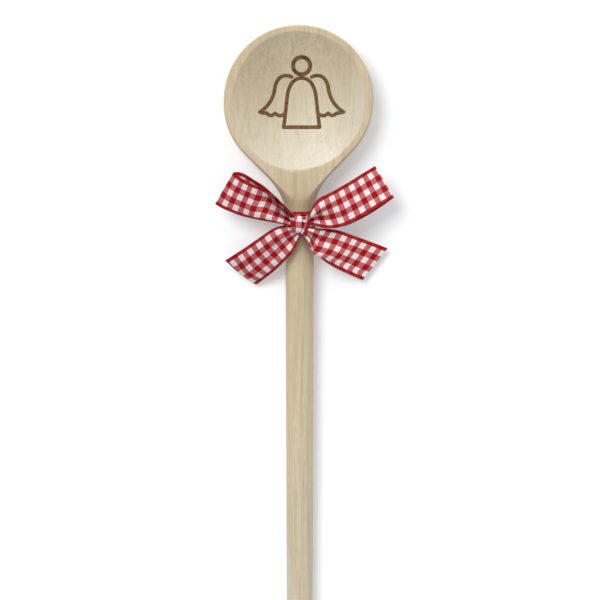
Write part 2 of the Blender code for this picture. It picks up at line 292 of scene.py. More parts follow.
def figure_lines():
    """The burnt figure's lines, each with its width."""
    angle = np.linspace(0, 2 * math.pi, RING_POINTS)
    ring = np.stack([RING_RADIUS * np.cos(angle), RING_Y + RING_RADIUS * np.sin(angle)], axis=1)
    half = [bezier(curve, count) for curve, count in HALF_CURVES]
    t = np.linspace(0, 1, SCALLOP_POINTS)[:, None]
    for start, end, depth in zip(WING_HEM, WING_HEM[1:], SCALLOP_DEPTHS):
        scallop = np.array(start) * (1 - t) + np.array(end) * t
        scallop[:, 1] -= depth * np.sin(math.pi * t[:, 0])
        half.append(scallop)
    half.append(np.array([ROBE_SIDE[0], (0.0, ROBE_SIDE[0][1])]))
    lines = [(ring, RING_LINE)]
    for line in half:
        lines.append((line, FIGURE_LINE))
        lines.append((line * (-1, 1), FIGURE_LINE))
    return lines


def inside_lines(x, y):
    """How far inside the burnt figure's lines these points lie, below zero off them."""
    points = np.stack([x - FIGURE_X, y], axis=1)
    inside = np.full(len(points), -HEAD_RADIUS)
    for line, width in figure_lines():
        for a, b in zip(line, line[1:]):
            run = b - a
            t = np.clip((points - a) @ run / (run @ run), 0, 1)
            away = np.linalg.norm(points - a - t[:, None] * run, axis=1)
            inside = np.maximum(inside, width / 2 - away)
    return inside


def line_share(inside):
    """1 well inside a burnt line and 0 off it."""
    return smooth_step(inside / LINE_EDGE + 0.5)


def dish_grid():
    """Points over the dish, a square grid pressed into a circle, and the numbers of those round its edge."""
    steps = np.linspace(-1, 1, DISH_CELLS + 1)
    u, v = np.meshgrid(steps, steps)
    x = DISH_WIDE * u * np.sqrt(1 - v * v / 2)
    y = DISH_Y + DISH_LONG * v * np.sqrt(1 - u * u / 2)
    number = np.arange((DISH_CELLS + 1) ** 2).reshape(DISH_CELLS + 1, -1)
    border = [number[0, :-1], number[:-1, -1], number[-1, :0:-1], number[:0:-1, 0]]
    quads = np.stack([number[:-1, :-1], number[:-1, 1:], number[1:, 1:], number[1:, :-1]], axis=-1)
    return x.ravel(), y.ravel(), np.concatenate(border), quads.reshape(-1, 4)


def outline_points(x, y):
    """Where the rays from the head's middle through these points leave the head or reach the neck's end."""
    ray = np.stack([x, y], axis=1)
    ray /= np.linalg.norm(ray, axis=1)[:, None]
    low = np.full(len(ray), DISH_WIDE)
    high = np.full(len(ray), OUTLINE_FAR)
    for _ in range(OUTLINE_HALVINGS):
        middle = (low + high) / 2
        px, py = (ray * middle[:, None]).T
        inside = (py >= NECK_END_Y) & (py < HEAD_RADIUS) & (np.abs(px) <= half_width(py))
        low = np.where(inside, middle, low)
        high = np.where(inside, high, middle)
    hits = ray * low[:, None]
    neck = np.flatnonzero(hits[:, 1] < NECK_END_Y + CLOSE)
    neck = neck[np.argsort(hits[neck, 0])]
    around = np.linspace(-math.pi / 2, math.pi / 2, len(neck))
    hits[neck, 0] = handle_radius(NECK_END_Y) * np.sin(around)
    hits[neck, 1] = NECK_END_Y
    return hits, neck


class Rings:
    """A mesh that grows ring by ring."""

    def __init__(self, points, faces):
        self.points = [points]
        self.faces = faces
        self.count = len(points)

    def add(self, points):
        """Adds points and gives their numbers."""
        numbers = self.count + np.arange(len(points))
        self.points.append(points)
        self.count += len(points)
        return numbers

    def bridge(self, near, far):
        """Adds quads between two closed rings of numbers."""
        self.faces += np.stack([near, np.roll(near, -1), np.roll(far, -1), far], axis=1).tolist()


def at_height(height, place):
    """Points over these places, at the height that a surface has there."""
    return np.column_stack([place, height(place[:, 0], place[:, 1])])


def add_rim(mesh, ring, edge, outline):
    """The rim, from the dish's edge out to the outline."""
    for share in np.sin(np.linspace(0, math.pi / 2, RIM_STEPS + 1))[1:]:
        outer = mesh.add(at_height(top_height, edge + (outline - edge) * share))
        mesh.bridge(outer, ring)
        ring = outer
    return ring


def add_back(mesh, ring, outline, neck):
    """The back, from the outline in to the flat. Gives the numbers of the lower half of the neck's end."""
    lower_neck = neck[1:-1]
    ring = ring.copy()
    ring[lower_neck] = mesh.add(at_height(back_height, outline[lower_neck]))
    found = ring[lower_neck]
    for share in (1 - np.cos(np.linspace(0, math.pi / 2, BACK_STEPS + 1)[1:])) * BACK_REACH:
        inner = mesh.add(at_height(back_height, outline * (1 - share)))
        mesh.bridge(inner, ring)
        ring = inner
    mesh.faces.append(ring[::-1].tolist())
    return found


def add_handle(mesh, ring):
    """The handle, from the neck down to its domed end."""
    section = np.concatenate(mesh.points)[ring][:, (0, 2)] / handle_radius(NECK_END_Y)
    stations = [(y, handle_radius(y)) for y in np.linspace(NECK_END_Y, DOME_Y, HANDLE_STEPS + 1)[1:]]
    for angle in np.linspace(0, math.pi / 2, DOME_STEPS + 1)[1:-1]:
        stations.append((DOME_Y - DOME_LENGTH * math.sin(angle), END_RADIUS * math.cos(angle)))
    for y, radius in stations:
        across, up = section.T * radius
        lower = mesh.add(np.column_stack([across, np.full(len(ring), y), up]))
        mesh.bridge(ring, lower)
        ring = lower
    mesh.faces += [[a, b, mesh.count] for a, b in zip(ring.tolist(), np.roll(ring, -1).tolist())]
    mesh.add(np.array([[0.0, END_Y, 0.0]]))


def spoon_mesh():
    """The spoon's points, how far each lies inside the burnt lines, and faces."""
    x, y, border, quads = dish_grid()
    inside = inside_lines(leaned(x, y), y)
    top = top_height(x, y) - BURN_DEPTH * line_share(inside)
    mesh = Rings(np.stack([x, y, top], axis=1), quads.tolist())
    outline, neck = outline_points(x[border], y[border])
    ring = add_rim(mesh, border, np.stack([x[border], y[border]], axis=1), outline)
    lower_neck = add_back(mesh, ring, outline, neck)
    add_handle(mesh, np.concatenate([ring[neck], lower_neck[::-1]]))
    points = np.concatenate(mesh.points)
    points[:, 0] = leaned(points[:, 0], points[:, 1])
    inside = np.concatenate([inside, np.full(len(points) - len(inside), -HEAD_RADIUS)])
    return points, inside, mesh.faces


# Tones of the wood over the spoon
TOP_ABOVE_BACK = 1.0
DISH_TONE_EDGE = 0.4
# Painted light and sheen: the dish's paler tone grows from its least share at the top to full towards the
# handle and the lower right, where its wall faces the lamps
PALE_LEAST = 0.3
PALE_FROM_Y = 18.0
PAINTED_LIGHT_LEAN = 0.4
PALE_FADE = 42.0
HANDLE_PALE = 0.55
HANDLE_PALE_FROM_Y = -100.0
HANDLE_PALE_FADE = 120.0
FLECK_PLACE = (-17.0, 8.0)
FLECK_REACH = (9.0, 17.0)
CORE_FROM = 0.2
CORE_FADE = 0.4


def wood_tones(points, inside):
    """How far each point is in the dish, pale (the dish's painted light and sheen, the handle's paler end),
    flecked, burnt and at a burnt line's core.
    """
    x, y, z = points.T
    from_edge = DISH_RADIUS - dish_reach(x - leaned(0, y), y)
    dish = smooth_step(from_edge / DISH_TONE_EDGE + 0.5) * (z > back_height(x, y) + TOP_ABOVE_BACK)
    # Painted light: paler towards the dish's lower wall and right side, which face the lamps
    dish_paleness_and_painted_light = PALE_LEAST + (1 - PALE_LEAST) * smooth_step((PALE_FROM_Y - y + PAINTED_LIGHT_LEAN * x) / PALE_FADE)
    pale_handle = HANDLE_PALE * smooth_step((HANDLE_PALE_FROM_Y - y) / HANDLE_PALE_FADE)
    fleck_x = (x - FLECK_PLACE[0]) / FLECK_REACH[0]
    fleck_y = (y - FLECK_PLACE[1]) / FLECK_REACH[1]
    return {
        "dish": dish,
        "pale": np.maximum(dish * dish_paleness_and_painted_light, pale_handle),
        "flecked": np.exp(-(fleck_x**2) - fleck_y**2),
        "burnt": line_share(inside),
        "core": smooth_step((inside - CORE_FROM) / CORE_FADE),
    }


def make_spoon(look):
    """The spoon, one piece of wood, with its tones, painted light in the dish among them, as values on the
    mesh.
    """
    points, inside, faces = spoon_mesh()
    spoon = make_object("spoon_wood", points, faces, look, "spoon", "wood", "spoon")
    shape = bmesh.new()
    shape.from_mesh(spoon.data)
    bmesh.ops.recalc_face_normals(shape, faces=shape.faces)
    shape.to_mesh(spoon.data)
    shape.free()
    for name, values in wood_tones(points, inside).items():
        tone = spoon.data.attributes.new(name, "FLOAT", "POINT")
        tone.data.foreach_set("value", values.astype(np.float32))
    return spoon


# Ribbon shape

ACROSS = np.linspace(0, 1, STEPS_ACROSS + 1)

# The most that a section's slopes are scaled by
MOST_SWING = 2.6


def gathered_section(chord, width, wave):
    """A section across a ribbon of this width that reaches only to the chord. Its slope follows wave."""
    low, high = 0.0, MOST_SWING
    step = width / STEPS_ACROSS
    for _ in range(SECTION_HALVINGS):
        swing = (low + high) / 2
        slope = swing * (wave[:-1] + wave[1:]) / 2
        x = np.concatenate([[0], np.cumsum(np.cos(slope))]) * step
        z = np.concatenate([[0], np.cumsum(np.sin(slope))]) * step
        if math.hypot(x[-1], z[-1]) > chord:
            low = swing
        else:
            high = swing
    turn = math.atan2(z[-1], x[-1])
    level = x * math.cos(turn) + z * math.sin(turn)
    lift = z * math.cos(turn) - x * math.sin(turn)
    return level - level[-1] / 2, lift


def column_lengths(rows):
    """How far along each column of points every row lies."""
    step = np.linalg.norm(np.diff(rows, axis=0), axis=2)
    return np.concatenate([np.zeros((1, rows.shape[1])), np.cumsum(step, axis=0)])


def ribbon_rows(edges, widths, waves, outward):
    """Points across a ribbon between two edge lines, row by row, gathered by its waves.

    A section's lift is towards the side of the cloth that outward points to at the first row.
    """
    near_edge, far_edge = edges
    middle = (near_edge + far_edge) / 2
    reach = far_edge - near_edge
    chord = np.linalg.norm(reach, axis=1)
    reach = reach / chord[:, None]
    run = np.gradient(middle, axis=0)
    side = np.cross(run, reach)
    side /= np.linalg.norm(side, axis=1)[:, None]
    if side[0] @ np.array(outward, float) < 0:
        side = -side
    rows = []
    for k in range(len(middle)):
        level, lift = gathered_section(min(chord[k], widths[k]), widths[k], waves[k])
        rows.append(middle[k] + level[:, None] * reach[k] + lift[:, None] * side[k])
    return np.array(rows)


def make_ribbon(name, node, look, rows, span, red_row, red_offset=0.0, slant=0.0, body="bow"):
    """A ribbon piece from its rows, with its flat sizes as UVs.

    span is the part of the width that the rows show. A red band of the weave crosses at red_row, less the
    offset. slant is how far the bands follow the cloth's own length along each edge and not the rows.
    """
    own = column_lengths(rows)
    mean = np.tile(own.mean(axis=1)[:, None], own.shape[1])
    along = mean + slant * (own - mean) - mean[red_row, 0] + red_offset + RED_MIDDLE
    number = np.arange(along.size).reshape(along.shape)
    quads = np.stack([number[:-1, :-1], number[:-1, 1:], number[1:, 1:], number[1:, :-1]], axis=-1)
    quads = quads.reshape(-1, 4)
    piece = make_object(name, rows.reshape(-1, 3), quads.tolist(), look, body, "ribbon", node)
    across = np.tile(span[0] + ACROSS * (span[1] - span[0]), len(rows))
    flat = np.stack([along.ravel(), across], axis=1)[quads.ravel()] / METRE
    piece.data.uv_layers.new(name="cloth").data.foreach_set("uv", flat.astype(np.float32).ravel())
    solidify = piece.modifiers.new("thickness", "SOLIDIFY")
    solidify.thickness = CLOTH / METRE
    solidify.offset = 0.0
    return piece


def wave_rows(places, waves, at):
    """The slopes across for each row, blended between the waves given for some places along."""
    rows = np.zeros((len(at), len(ACROSS)))
    for k in range(len(places)):
        weights = np.interp(at, places, np.eye(len(places))[k])
        rows += smooth_step(weights)[:, None] * waves[k]
    return rows


def ripple(count, phase):
    """A gathered section's slope, as count waves across the ribbon."""
    return np.sin(2 * math.pi * count * ACROSS + phase)


def pleats(count, start):
    """A gathered section's slope, as rounded ridges side by side with sharp creases between."""
    return 1 - 2 * np.mod(count * ACROSS + start, 1.0)


def slope_line(places, slopes):
    """A section's slope that runs smoothly through these values."""
    return spline(places, slopes, ACROSS)


LOOP_ROWS = 190
LOOP_START = math.radians(4)
KNOT_WIDTH = 7.0
BACK_SPREAD = 0.45
FOLD_TIGHTNESS = 0.5
FOLD_OFFSET = 1.8
FRONT_END = 1.06
FRONT_FADE = 0.12

# Each loop has the lines of its two edges in plan, from the knot to the fold, and the waves at some places
# along. lead is how far the top edge runs ahead, spread the share of the reach in which the upper layer
# opens to its full width, and back_shift how far the lower layer lies from the upper one along the reach.
# base is the height at the knot, puff the height between the layers and droop how far the fold hangs.
LEFT_LOOP = {
    "top": (
        (-0.6, -48.9), (-3.0, -48.1), (-5.1, -46.6), (-8.0, -43.5), (-10.5, -40.5), (-12.7, -38.2),
        (-15.8, -35.8), (-18.9, -34.5), (-22.0, -33.0), (-24.9, -31.2), (-26.8, -29.5),
    ),
    "bottom": (
        (-0.6, -51.3), (-3.0, -51.2), (-6.1, -50.7), (-9.3, -50.1), (-14.4, -49.2), (-20.4, -48.0),
        (-24.3, -47.0), (-28.2, -45.5), (-32.1, -43.8), (-34.3, -42.4),
    ),
    "lead": 0.055,
    "spread": 0.5,
    "back_shift": (
        (0, 0.06, 0.14, 0.27, 0.5, 0.75, 0.92, 1),
        ((0, 0), (0.7, 0.7), (1.2, 1.3), (1.0, 1.1), (0.5, 0.9), (0.6, 2.1), (0.3, 1.6), (0, 0)),
    ),
    "base": 10.8,
    "puff": 5.6,
    "droop": 5.5,
    "top_lifts": ((0, 0.1, 0.25, 0.5, 0.75, 1), (0.0, 2.2, 3.2, 3.2, 2.0, 0.3)),
    "bottom_lifts": ((0, 0.15, 0.4, 0.7, 0.9, 1), (0.0, -0.9, -2.8, -3.8, -2.8, -1.2)),
    "places": (0, 0.13, 0.4, 0.65, 1),
    "waves": (
        pleats(3, 0.2),
        slope_line((0, 0.12, 0.28, 0.42, 0.55, 0.68, 0.82, 0.92, 1),
                   (0.6, -0.5, -1.0, -0.6, 0.4, 0.7, 0.5, 0.1, -0.4)),
        slope_line((0, 0.1, 0.25, 0.45, 0.6, 0.75, 0.9, 1), (0.6, 0.1, -0.4, -0.6, -0.3, 0.6, 0.8, 0.5)),
        slope_line((0, 0.1, 0.25, 0.45, 0.7, 1), (1.2, 0.7, 0.2, -0.3, -0.3, 0.1)),
        slope_line((0, 0.5, 1), (0.6, 0.0, -0.6)),
    ),
}

RIGHT_LOOP = {
    "top": (
        (-0.2, -49.2), (2.8, -48.3), (4.7, -45.5), (6.0, -42.6), (8.3, -40.3), (11.5, -38.4), (15.7, -36.0),
        (20.6, -32.9), (25.9, -29.4), (30.4, -26.8),
    ),
    "bottom": (
        (-0.2, -51.2), (3.0, -50.9), (6.6, -51.4), (10.1, -52.2), (13.8, -52.3), (17.1, -51.6),
        (20.6, -50.2), (25.2, -47.9), (34.7, -42.4), (38.4, -40.1),
    ),
    "lead": 0.02,
    "spread": 0.24,
    "back_shift": (
        (0, 0.15, 0.3, 0.42, 0.6, 0.9, 1),
        ((0, 0), (0.0, 0.5), (0.0, 0.5), (0.1, 0.0), (0.1, -0.5), (0.1, -0.4), (0, 0)),
    ),
    "base": 11.0,
    "puff": 5.6,
    "droop": 3.5,
    "top_lifts": ((0, 0.12, 0.3, 0.45, 0.7, 1), (0.0, 1.8, 2.6, 1.7, 0.4, 0.0)),
    "bottom_lifts": ((0, 0.15, 0.4, 0.7, 1), (0.0, -0.4, -0.9, -0.5, 0.0)),
    "places": (0, 0.1, 0.3, 0.55, 1),
    "waves": (
        pleats(3, 0.4),
        slope_line((0, 0.1, 0.18, 0.27, 0.38, 0.5, 0.66, 0.77, 0.88, 1),
                   (0.3, -0.6, -1.1, -0.5, 0.6, 1.0, 1.2, 0.8, -0.3, -1.1)),
        slope_line((0, 0.1, 0.18, 0.26, 0.36, 0.5, 0.65, 0.76, 0.87, 1),
                   (0.2, -0.5, -1.0, -0.5, 0.5, 0.8, 0.9, 0.6, -0.4, -0.9)),
        slope_line((0, 0.25, 0.5, 0.75, 1), (0.7, 0.2, -0.5, 0.4, -0.8)),
        slope_line((0, 0.5, 1), (0.6, 0.0, -0.6)),
    ),
}


def make_loop(name, node, look, loop):
    """Out from the knot on the upper layer, round the fold and back on the lower layer."""
    turn = np.linspace(LOOP_START, 2 * math.pi - LOOP_START, LOOP_ROWS)
    reach = (1 - np.cos(turn)) / 2
    front = smooth_step((FRONT_END - turn / math.pi) / FRONT_FADE)
    rise = np.sin(turn) * np.abs(np.sin(turn)) ** FOLD_TIGHTNESS
    height = loop["base"] + loop["puff"] / 2 * rise - loop["droop"] * reach**2
    shift = (1 - front)[:, None] * spline(*loop["back_shift"], reach)
    edges = []
    for side, lead in (("bottom", 0.0), ("top", loop["lead"])):
        place = along_line(loop[side], reach + lead * np.sin(math.pi * reach)) + shift
        edges.append(np.column_stack([place, height + spline(*loop[side + "_lifts"], reach)]))
    spread = BACK_SPREAD + (loop["spread"] - BACK_SPREAD) * front
    widths = KNOT_WIDTH + (WIDTH - KNOT_WIDTH) * smooth_step(reach / spread)
    waves = wave_rows(loop["places"], loop["waves"], reach) * (2 * front - 1)[:, None]
    rows = ribbon_rows(edges, widths, waves, (0, 0, 1))
    return make_ribbon(name, node, look, rows, (0, WIDTH), LOOP_ROWS // 2, FOLD_OFFSET)


TAIL_ROWS = 110
TAIL_CUT = 1.5
TAIL_CUT_FROM = 0.4
TAIL_SPREAD = 0.35
TAIL_SLANT = 0.5

# Each tail has the lines and heights of its two edges, from the knot to the cut end, and the waves at some
# places along. end_offset is how far the end lies from the middle of a red band.
LEFT_TAIL = {
    "upper": (
        (-1.0, -52.0), (-4.8, -51.3), (-8.0, -51.5), (-10.4, -52.3), (-13.4, -54.1), (-18.9, -57.9),
        (-24.3, -61.5), (-30.4, -65.3),
    ),
    "lower": (
        (0.0, -53.8), (-0.2, -55.6), (-0.9, -57.9), (-2.5, -61.2), (-5.8, -65.2), (-10.7, -69.8),
        (-17.8, -75.2),
    ),
    "upper_heights": ((0, 0.15, 0.35, 0.55, 0.8, 1), (9.6, 9.4, 8.3, 6.2, 2.2, -1.2)),
    "lower_heights": ((0, 0.15, 0.35, 0.55, 0.8, 1), (9.4, 9.1, 7.7, 5.0, 0.0, -4.4)),
    "places": (0, 0.12, 0.35, 1),
    "waves": (
        pleats(2.5, 0.1),
        slope_line((0, 0.12, 0.28, 0.42, 0.6, 0.8, 1), (1.2, -0.4, -1.4, 1.3, 0.3, -0.6, -1.2)),
        slope_line((0, 0.15, 0.3, 0.5, 0.75, 1), (0.9, -0.2, -0.8, 0.7, -0.2, -0.9)),
        slope_line((0, 0.5, 1), (0.5, 0.0, -0.5)),
    ),
    "end_offset": -1.1,
}

RIGHT_TAIL = {
    "upper": (
        (-0.4, -51.6), (4.4, -52.2), (7.6, -52.5), (10.8, -52.6), (15.7, -53.2), (20.6, -54.8),
        (25.9, -56.6), (35.9, -60.4),
    ),
    "lower": (
        (-0.4, -53.3), (3.3, -56.1), (4.9, -58.9), (6.2, -61.4), (8.2, -64.0), (11.1, -66.3), (15.7, -69.0),
        (25.7, -73.4),
    ),
    "upper_heights": ((0, 0.15, 0.35, 0.55, 0.8, 1), (9.6, 9.4, 8.0, 5.4, 0.8, -3.2)),
    "lower_heights": ((0, 0.15, 0.35, 0.55, 0.8, 1), (9.4, 9.1, 7.9, 5.2, 0.6, -3.4)),
    "places": (0, 0.12, 0.35, 0.6, 1),
    "waves": (
        pleats(2.5, 0.5),
        slope_line((0, 0.08, 0.18, 0.35, 0.55, 0.75, 1), (2.0, 1.5, 0.3, -0.8, 0.9, -0.2, -1.2)),
        slope_line((0, 0.08, 0.18, 0.35, 0.55, 0.8, 1), (1.8, 1.2, 0.3, -0.2, -0.4, 0.1, -0.7)),
        slope_line((0, 0.3, 0.6, 1), (0.7, 0.1, -0.2, -0.6)),
        slope_line((0, 0.5, 1), (0.5, 0.0, -0.5)),
    ),
    "end_offset": -1.9,
}


def make_tail(name, node, look, tail):
    """Out from under the knot and down towards the table, with its end cut on a slant."""
    share = np.linspace(0, 1, TAIL_ROWS)
    edges = []
    for side in ("lower", "upper"):
        heights = spline(*tail[side + "_heights"], share)
        edges.append(np.column_stack([along_line(tail[side], share), heights]))
    widths = KNOT_WIDTH + (WIDTH - KNOT_WIDTH) * smooth_step(share / TAIL_SPREAD)
    widths = widths + TAIL_CUT * smooth_step((share - TAIL_CUT_FROM) / (1 - TAIL_CUT_FROM))
    waves = wave_rows(tail["places"], tail["waves"], share)
    rows = ribbon_rows(edges, widths, waves, (0, 0, 1))
    return make_ribbon(name, node, look, rows, (0, WIDTH), -1, tail["end_offset"], TAIL_SLANT)


KNOT_MIDDLE = (0.0, -51.1, 10.9)
KNOT_TURN = (-78, 258)
KNOT_RISE = 1.6
KNOT_LEAN = 0.6
KNOT_CHORDS = ((-1, 0, 1), (4.8, 7.4, 6.8))
KNOT_SPAN = (3.9, 15.0)
KNOT_ROWS = 100
KNOT_OFFSET = -0.2

# For the knot's left and right edges: the share of the chord, the shift and the depth along the handle
KNOT_SIDES = ((-0.5, 0.9, 1.9), (0.5, -0.1, 3.3))
KNOT_WAVE = slope_line(
    (0, 0.1, 0.215, 0.33, 0.435, 0.5, 0.56, 0.62, 0.7, 0.8, 0.87, 0.94, 1),
    (0.9, 0.5, 0.2, -0.1, -0.5, -1.2, -0.7, 0.7, 1.2, 1.0, 0.5, -0.3, -1.1),
)


def make_knot(look):
    """The strand over the middle of the bow, from behind it over the top and under its front."""
    turn = np.radians(np.linspace(*KNOT_TURN, KNOT_ROWS))
    back = np.cos(turn)
    middle_x, middle_y, middle_z = KNOT_MIDDLE
    x = middle_x + KNOT_LEAN * back
    z = middle_z + KNOT_RISE * np.sin(turn)
    chord = spline(*KNOT_CHORDS, back)
    edges = []
    for half, shift, depth in KNOT_SIDES:
        y = middle_y + shift + depth * back
        edges.append(np.column_stack([x + half * chord, y, z]))
    widths = np.full(KNOT_ROWS, KNOT_SPAN[1] - KNOT_SPAN[0])
    rows = ribbon_rows(edges, widths, np.tile(KNOT_WAVE, (KNOT_ROWS, 1)), (0, 1, 0))
    return make_ribbon("ribbon_knot", "ribbon_knot_wrap", look, rows, KNOT_SPAN, KNOT_ROWS // 2, KNOT_OFFSET)


CROSSING_RADIUS = 8.0
CROSSING_Y = BOW_Y + 1.1
CROSSING_TURN = 62
CROSSING_CHORD = 5.8
CROSSING_SPAN = (0.2, 10.6)
CROSSING_PLEATS = 3.5
CROSSING_OFFSET = -1.5
CROSSING_ROWS = 60

# Height of the hump in the middle, and its reach as an angle
CROSSING_HUMP = (1.4, 0.4)

# For the dip and the opening towards both ends: size, the angle where it starts, and its reach
CROSSING_DIP = (0.9, 0.5, 0.6)
CROSSING_OPENING = (2.6, 0.4, 0.7)


def towards_ends(turn, size, start, reach):
    """0 in the middle and up to size towards both ends."""
    return size * smooth_step((np.abs(turn) - start) / reach)


def make_crossing(look):
    """The first crossing of the ribbon, over the band and under the bow."""
    turn = np.radians(np.linspace(-CROSSING_TURN, CROSSING_TURN, CROSSING_ROWS))
    radius = CROSSING_RADIUS - towards_ends(turn, *CROSSING_DIP)
    hump_height, hump_reach = CROSSING_HUMP
    radius = radius + hump_height * np.exp(-((turn / hump_reach) ** 2))
    chord = CROSSING_CHORD + towards_ends(turn, *CROSSING_OPENING)
    x = radius * np.sin(turn)
    z = radius * np.cos(turn)
    edges = [np.column_stack([x, CROSSING_Y + half * chord, z]) for half in (-0.5, 0.5)]
    widths = np.full(CROSSING_ROWS, CROSSING_SPAN[1] - CROSSING_SPAN[0])
    rows = ribbon_rows(edges, widths, np.tile(pleats(CROSSING_PLEATS, 0), (CROSSING_ROWS, 1)), (0, 0, 1))
    name, node = "ribbon_crossing", "ribbon_half_knot"
    return make_ribbon(name, node, look, rows, CROSSING_SPAN, CROSSING_ROWS // 2, CROSSING_OFFSET)


BAND_RADIUS = 6.45
BAND_LIFT = 0.35
BAND_CHORD = 12.4
BAND_GATHER = 2.6
BAND_RIPPLES = (4.5, 0.8)
BAND_ROWS = 150
BAND_SPAN = (0.6, 14.4)


def make_band(look):
    """The ribbon round the neck, spread at the back and gathered towards the knot."""
    turn = np.linspace(0, 2 * math.pi, BAND_ROWS)
    gather = (1 + np.cos(turn)) / 2
    chord = BAND_CHORD - BAND_GATHER * gather
    radius = BAND_RADIUS + BAND_LIFT * gather
    x = radius * np.sin(turn)
    z = radius * np.cos(turn)
    edges = [np.column_stack([x, BOW_Y + half * chord, z]) for half in (-0.5, 0.5)]
    widths = np.full(BAND_ROWS, BAND_SPAN[1] - BAND_SPAN[0])
    rows = ribbon_rows(edges, widths, np.tile(ripple(*BAND_RIPPLES), (BAND_ROWS, 1)), (0, 0, 1))
    return make_ribbon("ribbon_band", "ribbon_neck_band", look, rows, BAND_SPAN, 0, body="ribbon_band")


# Materials


class Nodes:
    """Short ways to add and join a material's nodes."""

    def __init__(self, name):
        self.material = bpy.data.materials.new(name)
        self.material.use_nodes = True
        self.tree = self.material.node_tree
        self.shader = self.tree.nodes["Principled BSDF"]

    def add(self, kind, inputs=None, **settings):
        node = self.tree.nodes.new(kind)
        for key, value in settings.items():
            setattr(node, key, value)
        for key, value in (inputs or {}).items():
            self.set(node.inputs[key], value)
        return node

    def set(self, socket, value):
        if isinstance(value, bpy.types.NodeSocket):
            self.tree.links.new(value, socket)
        else:
            socket.default_value = value

    def math(self, operation, a, b=0.0, c=0.0):
        return self.add("ShaderNodeMath", {0: a, 1: b, 2: c}, operation=operation).outputs[0]

    def ramp(self, value, low, high):
        """0 below low, 1 above high and smooth between."""
        inputs = {"Value": value, "From Min": low, "From Max": high}
        return self.add("ShaderNodeMapRange", inputs, interpolation_type="SMOOTHSTEP").outputs[0]

    def mix(self, share, a, b, blend="MIX"):
        node = self.add("ShaderNodeMix", data_type="RGBA", blend_type=blend)
        for key, value in ((0, share), (6, a), (7, b)):
            self.set(node.inputs[key], value)
        return node.outputs[2]

    def attribute(self, name):
        return self.add("ShaderNodeAttribute", attribute_name=name).outputs["Fac"]

    def noise(self, place, scale, stretch, detail, roughness):
        mapped = self.add("ShaderNodeMapping", {"Vector": place, "Scale": stretch}).outputs[0]
        inputs = {"Vector": mapped, "Scale": scale, "Detail": detail, "Roughness": roughness}
        return self.add("ShaderNodeTexNoise", inputs).outputs["Fac"]

    def marks(self, place, noise, limits):
        """Marks where a noise rises from the lower limit to the upper one."""
        return self.ramp(self.noise(place, *noise), *limits)

    def bump(self, height, distance, strength):
        inputs = {"Height": height, "Distance": distance, "Strength": strength}
        return self.add("ShaderNodeBump", inputs).outputs[0]


WOOD_PALE = (0.56, 0.465, 0.30, 1)
WOOD_DARK = (0.48, 0.385, 0.233, 1)
WOOD_STREAK = (0.38, 0.29, 0.17, 1)
WOOD_FLECK = (0.24, 0.16, 0.09, 1)
# The paler tone, whose colours also paint the light and sheen on the dish's lower wall
PALER_AND_LIT_PALE = (0.56, 0.505, 0.39, 1)
PALER_AND_LIT_DARK = (0.49, 0.43, 0.315, 1)
BURN_DARK = (0.062, 0.023, 0.002, 1)
BURN_LIGHT = (0.175, 0.08, 0.008, 1)

# Noises in the wood: scale, stretch, detail and roughness
BROAD_NOISE = (70, (1, 0.12, 1), 3.0, 0.5)
STREAK_NOISE = (800, (1, 0.02, 1), 3.0, 0.6)
FINE_NOISE = (2600, (1, 0.03, 1), 2.0, 0.6)
SPECK_NOISE = (1500, (1, 0.15, 1), 2.0, 0.7)
PATCH_NOISE = (45, (1, 0.6, 1), 1.0, 0.5)
PORE_NOISE = (2300, (1, 0.16, 1), 1.0, 0.5)
SCRATCH_NOISE = (1500, (0.07, 1, 1), 1.0, 0.5)
CHAR_NOISE = (700, (1, 1, 1), 3.0, 0.5)

# Noise values between which a mark fades in
BROAD_LIMITS = (0.3, 0.7)
PATCH_LIMITS = (0.42, 0.62)
PORE_LIMITS = (0.63, 0.75)
SCRATCH_LIMITS = (0.62, 0.72)
CHAR_LIMITS = (0.3, 0.6)

# For streaks, fine grain and specks: limits, share of the dark colour, and what the dish's paleness and
# painted light change it by
GRAIN_MARKS = (((0.46, 0.72), 0.66, -0.32), ((0.48, 0.7), 0.5, -0.34), ((0.45, 0.8), 0.4, -0.2))
FLECK_SHARE = 1.2
PORES_IN_PATCHES = 0.4
PORES_BETWEEN = 0.08
PORES_OUTSIDE_DISH = 0.4
SCRATCH_SHARE = 0.1
WOOD_ROUGHNESS = 0.42
FINE_ROUGHNESS = 0.2
BURN_ROUGHNESS = 0.4
STREAK_RELIEF = 0.6
GRAIN_HEIGHT = 0.00012
GRAIN_STRENGTH = 0.5
WOOD_SHINE = 0.75


def grained_colour(n, place, dish, pale, grains):
    """Broad changes of tone, paler where the dish's painted light and the handle's paler end are, darkened
    by the streaks, fine grain and specks.
    """
    broad = n.marks(place, BROAD_NOISE, BROAD_LIMITS)
    # Paler in the dish's painted light and sheen, and towards the handle's end
    colour = n.mix(pale, n.mix(broad, WOOD_DARK, WOOD_PALE), n.mix(broad, PALER_AND_LIT_DARK, PALER_AND_LIT_PALE))
    pale_and_lit_dish = n.math("MULTIPLY", dish, pale)
    for grain, (limits, most, less) in zip(grains, GRAIN_MARKS):
        share = n.math("MULTIPLY", n.ramp(grain, *limits), n.math("MULTIPLY_ADD", pale_and_lit_dish, less, most))
        colour = n.mix(share, colour, WOOD_STREAK)
    return colour


def pore_share(n, place, dish, flecked):
    """Short dark pores, in patches and thickest beside the figure."""
    patches = n.math("MULTIPLY_ADD", flecked, FLECK_SHARE, n.marks(place, PATCH_NOISE, PATCH_LIMITS))
    pores = n.marks(place, PORE_NOISE, PORE_LIMITS)
    pores = n.math("MULTIPLY", pores, n.math("MULTIPLY_ADD", patches, PORES_IN_PATCHES, PORES_BETWEEN))
    inside = n.math("MULTIPLY_ADD", dish, 1 - PORES_OUTSIDE_DISH, PORES_OUTSIDE_DISH)
    return n.math("MULTIPLY", pores, inside)


